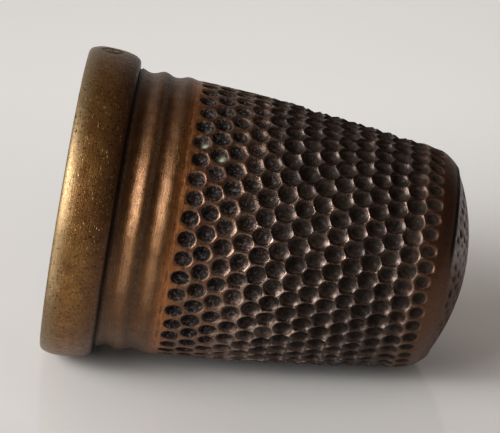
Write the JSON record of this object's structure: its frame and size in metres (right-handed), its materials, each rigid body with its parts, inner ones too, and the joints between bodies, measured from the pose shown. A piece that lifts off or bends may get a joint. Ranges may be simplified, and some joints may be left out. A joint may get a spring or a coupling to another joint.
{
  "type": "thimble",
  "caption": "Closed-top sewing thimble: a dimpled tapered brass shell with two turned beads, a heavy plain rim band and a domed dimpled steel cap.",
  "frame": {"origin": "centre of the mouth plane, on the surface that the thimble stands on", "axes": "+Z along the thimble's axis from the mouth to the closed end; +X and +Y across it"},
  "size_m": [0.018, 0.018, 0.0235],
  "materials": {
    "shell_brass": "tarnished",
    "band_brass": "worn satin",
    "cap_steel": "worn",
    "solder": "dull"
  },
  "bodies": {
    "root": {"brass_body": "shell_brass", "rim_band": "band_brass", "rim_solder": "solder", "steel_cap": "cap_steel", "cap_solder": "solder"}
  },
  "joints": []
}
